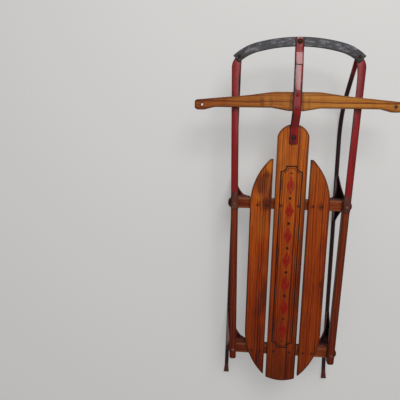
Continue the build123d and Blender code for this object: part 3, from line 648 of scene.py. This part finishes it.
def runner_section(sizes, edge=0.5):
    """Runner bar with the groove along its sole: (across, up) points, the sole on local height 0."""
    half, top, foot, height = sizes["half"], sizes["top"], sizes["foot"], sizes["height"]
    bar = rounded([
        (GROOVE_HALF, 0), (half, 0), (half, foot), (top, height),
        (-top, height), (-half, foot), (-half, 0), (-GROOVE_HALF, 0),
    ], edge)
    groove = [
        Vector((GROOVE_HALF * cos(pi * k / 6), sizes["groove"] * sin(pi * k / 6))) for k in range(5, 0, -1)
    ]
    return bar + groove


def between(first, second, share):
    """Section sizes part of the way from one set to another."""
    return {key: first[key] + (second[key] - first[key]) * share for key in first}


def swept(name, stations):
    """Closed skin through stations of (point, across, up, section), the section in local mm."""
    count = len(stations[0][3])
    vertices = [
        (point + across * u + up * v) * MM for point, across, up, section in stations for u, v in section
    ]
    faces = [
        (i * count + k, i * count + (k + 1) % count, (i + 1) * count + (k + 1) % count, (i + 1) * count + k)
        for i in range(len(stations) - 1)
        for k in range(count)
    ]
    faces.append(tuple(range(count)))
    faces.append(tuple((len(stations) - 1) * count + k for k in range(count)))
    mesh = bpy.data.meshes.new(name)
    mesh.from_pydata([tuple(v) for v in vertices], [], faces)
    halves = [max(u for u, v in section) for point, across, up, section in stations for _ in section]
    for key, values in (("across", [u for station in stations for u, v in station[3]]), ("half", halves)):
        mesh.attributes.new(key, "FLOAT", "POINT").data.foreach_set("value", values)
    work = bmesh.new()
    work.from_mesh(mesh)
    bmesh.ops.recalc_face_normals(work, faces=work.faces)
    work.to_mesh(mesh)
    work.free()
    mesh.polygons.foreach_set("use_smooth", [True] * len(mesh.polygons))
    mesh.set_sharp_from_angle(angle=radians(40))
    piece = bpy.data.objects.new(name, mesh)
    bpy.context.scene.collection.objects.link(piece)
    return piece


def shares(count):
    """Equal steps up to 1, the first of them past 0."""
    return [k / count for k in range(1, count + 1)]


def runner_path():
    """A runner seen from the side, tail to fold: distance forward, height, slope and section sizes."""
    sole_step = 8.0
    lift_angle = acos(1 - TAIL_LIFT / TAIL_RADIUS)
    flare_x = RUNNER_TAIL_X + FLARE_LENGTH * cos(lift_angle)
    touch_x = flare_x + TAIL_RADIUS * sin(lift_angle)
    fold_x, fold_z = NOSE_X - NOSE_RADIUS, STRAP_TOP - NOSE_RADIUS
    sine, cosine = sin(BOW_ANGLE), cos(BOW_ANGLE)
    folded = (fold_x + NOSE_RADIUS * sine, fold_z - NOSE_RADIUS * cosine)
    drawn_from = (folded[0] - DRAWN_LENGTH * cosine, folded[1] - DRAWN_LENGTH * sine)
    rise_height = BOW_RADIUS * (1 - cosine)
    rise = (folded[0] - (folded[1] - rise_height), rise_height)
    bend_x = rise[0] - BOW_RADIUS * sine

    path = []
    for share in [0.0] + shares(6):
        reach = FLARE_LENGTH * (1 - share)
        path.append((
            flare_x - reach * cos(lift_angle), TAIL_LIFT + reach * sin(lift_angle), -lift_angle,
            between(FISHTAIL, SOLE, share),
        ))
    for share in shares(8):
        slope = lift_angle * (1 - share)
        path.append((touch_x - TAIL_RADIUS * sin(slope), TAIL_RADIUS * (1 - cos(slope)), -slope, SOLE))
    for share in shares(int((bend_x - touch_x) / sole_step))[:-1]:
        path.append((touch_x + (bend_x - touch_x) * share, 0.0, 0.0, SOLE))
    for share in [0.0] + shares(24):
        slope = BOW_ANGLE * share
        path.append((bend_x + BOW_RADIUS * sin(slope), BOW_RADIUS * (1 - cos(slope)), slope, SOLE))
    for start, end, last in ((rise, drawn_from, SOLE), (drawn_from, folded, DRAWN)):
        for share in shares(8):
            path.append((
                start[0] + (end[0] - start[0]) * share, start[1] + (end[1] - start[1]) * share,
                BOW_ANGLE, between(SOLE, last, share),
            ))
    for share in shares(14):
        slope = BOW_ANGLE + (pi - BOW_ANGLE) * share
        path.append((fold_x + NOSE_RADIUS * sin(slope), fold_z - NOSE_RADIUS * cos(slope), slope, DRAWN))
    return path


def runner_stations(side):
    """Stations of one runner, which toes in a little towards the front."""
    toe = atan(RUNNER_TOE)
    forward = Vector((cos(toe), -side * sin(toe), 0.0))
    across = Vector((side * sin(toe), cos(toe), 0.0))
    origin = Vector((0.0, side * runner_y(0), 0.0))
    return [
        (origin + forward * x + UP * z, across, UP * cos(slope) - forward * sin(slope), runner_section(sizes))
        for x, z, slope, sizes in runner_path()
    ]


def corner_half(half, corner, reach):
    """Half width of a strip at `reach` from its round-cornered end."""
    if reach >= corner:
        return half
    return half - corner + sqrt(max(0.0, corner ** 2 - (corner - reach) ** 2))


def turned_edge(x, corner, before, after, radius):
    """Side of a strip at `x`: two straight edges of these slopes, with a round corner between them."""
    reach = radius * tan((atan(before) - atan(after)) / 2)
    start = corner[0] - reach * cos(atan(before))
    end = corner[0] + reach * cos(atan(after))
    if x <= start or x >= end:
        return corner[1] + (x - corner[0]) * (before if x <= start else after)
    centre_x = start + radius * sin(atan(before))
    centre_y = corner[1] + (start - corner[0]) * before - radius * cos(atan(before))
    return centre_y + sqrt(radius ** 2 - (x - centre_x) ** 2)


def strap_stations(side):
    """Stations of one strap, from its bolt forward along the side rail to the fold."""
    fold_x = NOSE_X - NOSE_RADIUS
    inner = (STRAP_TURN_X, strap_y(STRAP_TURN_X) - STRAP_HALF)
    outer = (STRAP_SHOULDER_X, strap_y(STRAP_SHOULDER_X) + STRAP_HALF)
    inner_slope = (runner_y(fold_x) - NOSE_HALF - inner[1]) / (fold_x - inner[0])
    outer_slope = (runner_y(fold_x) + NOSE_HALF - outer[1]) / (fold_x - outer[0])

    # Close together at the rounded tail, far apart along the rail and closer round the two turns
    xs = [STRAP_TAIL_X + reach for reach in (0.0, 0.3, 1.0, 2.0, STRAP_CORNER)]
    for start, step, count in ((STRAP_TAIL_X + 10, 11.0, 30), (400.0, 4.5, 8), (435.0, 2.0, 15)):
        xs += [start + step * k for k in range(count)]
    stations = []
    for x in xs + [fold_x]:
        near = turned_edge(x, inner, STRAP_SPLAY, inner_slope, STRAP_TURN_RADIUS)
        far = turned_edge(x, outer, STRAP_SPLAY, outer_slope, STRAP_SHOULDER_RADIUS)
        half = corner_half((far - near) / 2, STRAP_CORNER, x - STRAP_TAIL_X)
        place = Vector((x, side * (near + far) / 2, STRAP_BOTTOM))
        stations.append((place, ACROSS, UP, strip_section(half, STRAP_TOP - STRAP_BOTTOM)))
    return stations


def iron_line():
    """The iron's underside seen from the side, its corners rounded off: places and the slope at each."""
    bend_steps, longest = 8, 8.0
    line = [(Vector(IRON_PATH[0][:2]), 0.0)]
    for before, here, after in zip(IRON_PATH, IRON_PATH[1:], IRON_PATH[2:]):
        corner, radius = Vector(here[:2]), here[2]
        back, ahead = Vector(before[:2]) - corner, Vector(after[:2]) - corner
        turn = ahead.angle_signed(-back)
        start = corner + back.normalized() * radius * abs(tan(turn / 2))
        slope = -Vector((1, 0)).angle_signed(-back)
        for share in [0.0] + shares(bend_steps):
            chord = 2 * radius * sin(abs(turn) * share / 2)
            heading = slope + turn * share / 2
            line.append((start + Vector((cos(heading), sin(heading))) * chord, slope + turn * share))
    line.append((Vector(IRON_PATH[-1][:2]), 0.0))

    # Long stretches are cut into equal ones of about the longest length that a step may have
    fine = [line[0]]
    for (start, first), (end, second) in zip(line, line[1:]):
        for share in shares(max(1, int((end - start).length / longest))):
            fine.append((start.lerp(end, share), first + (second - first) * share))
    return fine


def iron_stations():
    """Stations of the steering iron: level at the pivot, up over the bar, down to the bumper."""
    line = iron_line()
    (head, head_z, _), (tail, tail_z, _) = IRON_PATH[0], IRON_PATH[-1]
    for reach in (0.3, 1.0, 2.0, IRON_CORNER):
        line += [(Vector((head + reach, head_z)), 0.0), (Vector((tail - reach, tail_z)), 0.0)]
    line.sort(key=lambda entry: entry[0].x)
    stations = []
    for place, slope in line:
        half = corner_half(IRON_HALF, IRON_CORNER, min(place.x - head, tail - place.x))
        stations.append((
            Vector((place.x, 0.0, place.y)), ACROSS, Vector((-sin(slope), 0.0, cos(slope))),
            strip_section(half, IRON_THICKNESS),
        ))
    return stations


def fastener_tree(material):
    """Geometry Nodes that put a domed head on every point, each a little off its place and size."""
    tree = bpy.data.node_groups.new("driven_heads", "GeometryNodeTree")
    tree.interface.new_socket("Geometry", in_out="INPUT", socket_type="NodeSocketGeometry")
    for name, kind in (
        ("Head Radius", "NodeSocketFloat"), ("Head Height", "NodeSocketFloat"),
        ("Scatter", "NodeSocketFloat"), ("Seed", "NodeSocketInt"),
    ):
        tree.interface.new_socket(name, in_out="INPUT", socket_type=kind)
    tree.interface.new_socket("Geometry", in_out="OUTPUT", socket_type="NodeSocketGeometry")
    given = add_node(tree, "NodeGroupInput").outputs
    head = add_node(tree, "GeometryNodeMeshUVSphere", {"Segments": 16, "Rings": 8, "Radius": 1.0})
    size = add_node(tree, "ShaderNodeCombineXYZ", {
        "X": given["Head Radius"], "Y": given["Head Radius"], "Z": given["Head Height"],
    })
    head = add_node(tree, "GeometryNodeTransform", {"Geometry": head, "Scale": size})
    head = add_node(tree, "GeometryNodeSetShadeSmooth", {"Geometry": head})
    spread = add_node(tree, "ShaderNodeCombineXYZ", {"X": given["Scatter"], "Y": given["Scatter"], "Z": 0.0})
    least = add_node(tree, "ShaderNodeVectorMath", {0: spread, 1: (-1.0, -1.0, 0.0)}, operation="MULTIPLY")
    offset = add_node(tree, "FunctionNodeRandomValue", {
        "Min": least, "Max": spread, "Seed": given["Seed"],
    }, data_type="FLOAT_VECTOR")
    moved = add_node(tree, "GeometryNodeSetPosition", {"Geometry": given["Geometry"], "Offset": offset})
    scale = add_node(tree, "FunctionNodeRandomValue", {
        "Min": (0.88, 0.88, 0.6), "Max": (1.1, 1.1, 1.1), "Seed": given["Seed"],
    }, data_type="FLOAT_VECTOR")
    made = add_node(tree, "GeometryNodeInstanceOnPoints", {"Points": moved, "Instance": head, "Scale": scale})
    made = add_node(tree, "GeometryNodeRealizeInstances", {"Geometry": made})
    made = add_node(tree, "GeometryNodeSetMaterial", {"Geometry": made, "Material": material})
    add_node(tree, "NodeGroupOutput", {"Geometry": made})
    return tree


def driven_heads(name, places, tree, values):
    """Plain mesh of the heads that the tree puts on these places, in mm."""
    points = bpy.data.meshes.new(name + "_places")
    points.from_pydata([tuple(c * MM for c in place) for place in places], [], [])
    carrier = bpy.data.objects.new(name + "_places", points)
    bpy.context.scene.collection.objects.link(carrier)
    modifier = carrier.modifiers.new("heads", "NODES")
    modifier.node_group = tree
    for item in tree.interface.items_tree:
        if item.in_out == "INPUT" and item.name in values:
            modifier[item.identifier] = values[item.name]
    evaluated = carrier.evaluated_get(bpy.context.evaluated_depsgraph_get())
    mesh = bpy.data.meshes.new_from_object(evaluated)
    mesh.name = name
    bpy.data.objects.remove(carrier)
    piece = bpy.data.objects.new(name, mesh)
    bpy.context.scene.collection.objects.link(piece)
    return piece


set_camera()
set_studio()

# Ash: orange-brown under aged amber varnish, pale and yellow towards the front, red-brown behind: the varnish
# is older and dirtier behind, and this is also painted light, brightest at the front and falling off towards
# the rear
SLAT_TONES = ((0.0, "#4e1c09"), (0.35, "#84390b"), (0.7, "#a25110"), (1.0, "#b96c1c"))
SLAT_COAT_AND_FALLOFF = (
    (0.0, "#ffffff"), (0.2, "#f8e6dc"), (0.36, "#eccab8"), (0.6, "#d4a494"), (0.8, "#c49484"),
    (1.0, "#9c7a6c"),
)
SLAT_RUN = (220.0, -440.0)
centre_wood = varnished_board(
    "varnished_ash_centre_slat", heart=(150.0, 70.0), ring=8.2, wave=4.5, tones=SLAT_TONES, figure=1.15,
    coat=SLAT_COAT_AND_FALLOFF, coat_from=SLAT_RUN, nails=True, trim=True,
    stains=((-110.0, -39.0, 320.0, 9.0, 0.6), (-330.0, 20.0, 60.0, 14.0, 0.2)),
    rubbed=((210.0, 22.0, 70.0, 12.0, 0.25),),
)
left_wood = varnished_board(
    "varnished_ash_left_slat", heart=(8.0, 128.0), ring=8.4, wave=7.0, tones=SLAT_TONES, figure=1.25,
    coat=SLAT_COAT_AND_FALLOFF, coat_from=SLAT_RUN, nails=True, tilt=0.02,
    stains=(
        (161.0, 66.0, 18.0, 14.0, 0.75), (140.0, 76.0, 34.0, 30.0, 0.6), (112.0, 54.0, 24.0, 10.0, 0.6),
        (84.0, 60.0, 24.0, 18.0, 0.8), (84.0, 86.0, 9.0, 7.0, 0.3), (20.0, 46.0, 60.0, 6.0, 0.4),
        (-180.0, 58.0, 70.0, 9.0, 0.6), (-230.0, 76.0, 50.0, 14.0, 0.35), (-300.0, 70.0, 40.0, 20.0, 0.3),
    ),
    rubbed=((190.0, 58.0, 26.0, 12.0, 0.6), (102.0, 82.0, 14.0, 14.0, 0.3), (20.0, 74.0, 50.0, 14.0, 0.25)),
)
right_wood = varnished_board(
    "varnished_ash_right_slat", heart=(-20.0, 100.0), ring=7.5, wave=4.0, tones=SLAT_TONES, figure=0.5,
    # Darker overall, and like the other slats painted with light falling off towards the rear
    coat=((0.0, "#dccccc"), (0.36, "#daaea0"), (0.6, "#cc9c90"), (0.8, "#cc9c90"), (1.0, "#b08680")),
    coat_from=SLAT_RUN, nails=True, tilt=-0.01,
    stains=(
        (80.0, -84.0, 14.0, 10.0, 0.5), (-160.0, -102.0, 60.0, 7.0, 0.6), (-60.0, -48.0, 200.0, 5.0, 0.4),
        (-142.0, -99.0, 20.0, 9.0, 0.7), (206.0, -54.0, 26.0, 14.0, 0.25),
    ),
)

# Ash rails: more dirt than varnish, brown-red, darker along both sides
RAIL_TONES = ((0.0, "#2f0f05"), (0.5, "#5f210d"), (1.0, "#7e3716"))
RAIL_COAT = ((0.0, "#ffffff"), (1.0, "#ecc6b4"))
rail_wood = {
    side_name: varnished_board(
        f"varnished_ash_{side_name}_rail", heart=(side * 120.0, 128.0), ring=5.0, wave=4.0,
        tones=RAIL_TONES, figure=0.5, coat=RAIL_COAT, coat_from=(60.0, -380.0),
    )
    for side_name, side in SIDES
}

# Ash benches, grain across the sled, their ends dark, and all their arrises pale: a painted highlight for the
# light that their front top edges catch
BENCH_TONES = ((0.0, "#35100a"), (0.5, "#682810"), (1.0, "#8e471d"))
bench_wood = varnished_board(
    "varnished_ash_benches", heart=(60.0, 70.0), ring=5.0, wave=4.0, tones=BENCH_TONES, figure=0.5,
    coat=((0.0, "#ffffff"), (1.0, "#c4a49c")), coat_from=(-60.0, 170.0), coat_along="Y", across=True,
    # The pale arris colour is the painted highlight
    arris="#7c4e34", stains=tuple(
        (x, side * 169.0, 40.0, 26.0, 0.9) for x in (FRONT_BENCH_X, REAR_BENCH_X) for _, side in SIDES
    ),
)

# Steering bar: paler, honey-coloured ash, redder on its left
BAR_TONES = ((0.0, "#5e2b09"), (0.45, "#925414"), (1.0, "#b2762c"))
bar_wood = varnished_board(
    "varnished_ash_bar", heart=(290.0, 130.0), ring=6.5, wave=6.0, tones=BAR_TONES, figure=0.75,
    coat=((0.0, "#ffffff"), (1.0, "#cca494")), coat_from=(-30.0, 240.0), coat_along="Y", across=True,
    stains=(
        # The patches 14 mm to each side of the iron are painted shade beside it; the rest are smudges and a
        # blotch
        (352.0, 88.0, 14.0, 9.0, 0.45), (352.0, 66.0, 18.0, 6.0, 0.35), (352.0, 14.0, 40.0, 6.0, 0.55),
        (352.0, -14.0, 40.0, 5.0, 0.5), (352.0, -30.0, 16.0, 6.0, 0.25),
    ),
)

# Enamel, brushed on thin over steel: a clear dark red with a soft gloss, duller and darker along its edges,
# where the paint is worn and, on the straps and iron, painted shade of their side faces. It starts between
# two places on an axis, and chips, painted side shade and grime are patches, all in mm
RED_COAT = {
    "tones": ((0.3, "#620506"), (0.5, "#740809"), (0.7, "#840d0e")), "rough": 0.3, "axis": "X",
    "start": (110.0, 120.0), "chipped": 0.5, "chips_and_side_shade": (), "cracks": (), "grime": (),
}
BARE_STRIP = {
    "skin": ((0.3, "#35180f"), (0.55, "#54281c"), (0.8, "#6a3a2c")), "mottle": (30.0, 12.0, 12.0),
    "rust": "#3a160c", "rusting": 0.6, "arris": "#2c0d0d", "rough": (0.42, 0.6), "metallic": 0.2,
}
# The straps' dark band within 4 mm of each edge is worn paint and painted shade of their side faces
strap_enamel = old_steel(
    "red_enamelled_steel_strap", reach=4.0, strip=True, **BARE_STRIP, paint=dict(
        RED_COAT, chipped=0.3,
        grime=((368.0, 164.0, 14.0, 5.0, 0.5), (300.0, -150.0, 30.0, 4.0, 0.3)),
    ),
)

# The iron's coat is the glossiest, chipped along both edges, with long dark patches along them as painted
# shade of its side faces, and cracked across just past its crease
iron_enamel = old_steel(
    "red_enamelled_steel_iron", reach=3.2, strip=True, **dict(
        BARE_STRIP, skin=((0.3, "#180a0e"), (0.55, "#2a1217"), (0.8, "#3f2026")), rust="#220c0b",
        arris="#1a080b",
    ), paint=dict(
        RED_COAT, rough=0.11, chipped=0.2, cracks=(IRON_CREASE_X + 2,),
        chips_and_side_shade=(
            # The first two patches run along the whole edges and are painted shade of the side faces; the
            # last two are chips
            (390.0, 11.6, 160.0, 4.6, 0.8), (400.0, -11.6, 140.0, 2.6, 0.6), (421.0, 9.2, 8.0, 3.8, 0.8),
            (409.0, 9.6, 4.0, 3.0, 0.7),
        ),
        grime=(
            (371.0, 0.0, 8.0, 9.0, 0.4), (337.0, 0.0, 7.0, 9.0, 0.4), (256.0, 0.0, 18.0, 11.0, 0.6),
            (390.0, -9.0, 16.0, 3.0, 0.6),
        ),
    ),
)

# The bar's two bolts have the same coat, with more chips
bolt_enamel = old_steel("red_enamelled_bolt_heads", reach=1.0, **BARE_STRIP, paint=RED_COAT)

# Hot-rolled bar: black scale turned maroon-brown, and what is left of its red enamel up the bows
runner_steel = old_steel(
    "rusted_black_steel_bar", skin=((0.3, "#16060a"), (0.55, "#26090f"), (0.8, "#381218")),
    mottle=(40.0, 20.0, 20.0), rust="#3c160e", rusting=0.5, arris="#4c2a28", reach=1.2, rough=(0.42, 0.62),
    metallic=0.2, marks=tuple((-505.0, side * 158.0, 26.0, 16.0, 0.7) for _, side in SIDES),
    mark_code="#5c2820", paint=dict(RED_COAT, axis="Z", start=(92.0, 118.0), chipped=0.7, rough=0.35),
)

# Pressed sheet, its red lead gone brown, nearly black at the feet's tips. Both skins are made lighter as
# painted fill light for the shade under the deck, and the right knees get a darker, more purple copy as
# painted shade of their inner faces
FOOT_TIPS = tuple(
    (bench_x + end * 64.0, side * 152.0, 24.0, 24.0, 0.85)
    for bench_x in (FRONT_BENCH_X, REAR_BENCH_X)
    for end in (-1, 1)
    for _, side in SIDES
)
KNEE_SKINS = {
    "left": ((0.3, "#461b16"), (0.55, "#743329"), (0.8, "#8e4a3b")),
    # Darker copy: painted shade
    "right": ((0.3, "#2a1216"), (0.55, "#482225"), (0.8, "#613431")),
}
knee_steel = {
    side_name: old_steel(
        f"rusted_pressed_steel_{side_name}", skin=skin, mottle=(20.0, 20.0, 20.0), rust="#3a180f",
        rusting=0.7, arris="#4c2a27", reach=1.0, rough=(0.42, 0.62), metallic=0.1, marks=FOOT_TIPS,
    )
    for side_name, skin in KNEE_SKINS.items()
}

# Bumper bar: bare steel gone dark grey, mottled by handling, nearly black along its edges
bumper_steel = old_steel(
    "grey_worn_steel_bar", skin=((0.34, "#0c0a0d"), (0.47, "#252428"), (0.56, "#424146"), (0.68, "#716f76")),
    mottle=(5.0, 13.0, 13.0), rust="#171112", rusting=0.7, arris="#080608", reach=4.3, rough=(0.42, 0.62),
    metallic=0.4, arched=True,
    marks=((466.0, 149.8, 16.0, 14.0, 0.9), (466.0, -149.8, 16.0, 14.0, 0.8)), mark_code="#1f1214",
)

# Bolt, rivet and nail heads: blackened steel rubbed brown
SMALL_HEAD = {"mottle": (8.0, 8.0, 8.0), "reach": 0.6, "rough": (0.5, 0.65), "metallic": 0.0, "shine": 0.15}
bolt_steel = old_steel(
    "blackened_steel_heads", skin=((0.3, "#1c0c07"), (0.6, "#34190e"), (0.8, "#4a2c1a")),
    rust="#30130a", rusting=0.4, arris="#3a2417", **SMALL_HEAD,
)

# Rail bolts: round heads with a fine crust of rust, rubbed paler on top
rail_bolt_steel = old_steel(
    "rusted_steel_rail_bolts", skin=((0.3, "#4a241b"), (0.6, "#6e4236"), (0.8, "#8a5c4e")),
    rust="#34160c", rusting=0.5, arris="#2a1410", **SMALL_HEAD,
)

for name, material in (
    ("centre_slat", centre_wood), ("left_slat", left_wood), ("right_slat", right_wood),
    ("left_rail", rail_wood["left"]), ("right_rail", rail_wood["right"]),
    ("front_bench", bench_wood), ("rear_bench", bench_wood),
    ("steering_bar", bar_wood), ("bumper", bumper_steel),
):
    finish_with(nodes[name], material)
for name, node in nodes.items():
    if name.endswith("_knee"):
        finish_with(node, knee_steel["left" if "_left_" in name else "right"])
    elif name.startswith(("front_", "rear_")) and name.endswith(("_left_bolt", "_right_bolt")):
        finish_with(node, rail_bolt_steel)
    elif name.endswith("_bar_bolt"):
        finish_with(node, bolt_enamel)
    elif name.endswith(("_bolt", "_rivet")):
        finish_with(node, bolt_steel)

for side_name, side in SIDES:
    runner = swept(f"{side_name}_runner_bar", runner_stations(side))
    finish_with(runner, runner_steel)
    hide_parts(f"{side_name}_runner", f"{side_name}_bow")
    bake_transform(runner)

    strap = swept(f"{side_name}_strap", strap_stations(side))
    finish_with(strap, strap_enamel)
    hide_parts(f"{side_name}_bow")
    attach(strap, f"{side_name}_bow")

iron = swept("steering_iron_strip", iron_stations())
finish_with(iron, iron_enamel)
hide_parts("steering_iron")
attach(iron, "steering")

heads = fastener_tree(bolt_steel)
nail_places = [(x, side * y, DECK_TOP) for x in NAIL_X for y in NAIL_Y for _, side in SIDES]
rivet_places = [
    (bench_x + reach, side * runner_y(bench_x + reach), FOOT_TOP)
    for bench_x in (FRONT_BENCH_X, REAR_BENCH_X)
    for reach in (-RIVET_REACH, RIVET_REACH)
    for _, side in SIDES
]
for name, places, radius, height, scatter, seed in (
    ("slat_nails", nail_places, 2.3, 0.5, 1.0, 4),
    ("knee_foot_rivets", rivet_places, 2.0, 1.2, 0.0, 9),
):
    piece = driven_heads(name, places, heads, {
        "Head Radius": radius * MM, "Head Height": height * MM, "Scatter": scatter * MM, "Seed": seed,
    })
    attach(piece, "frame")
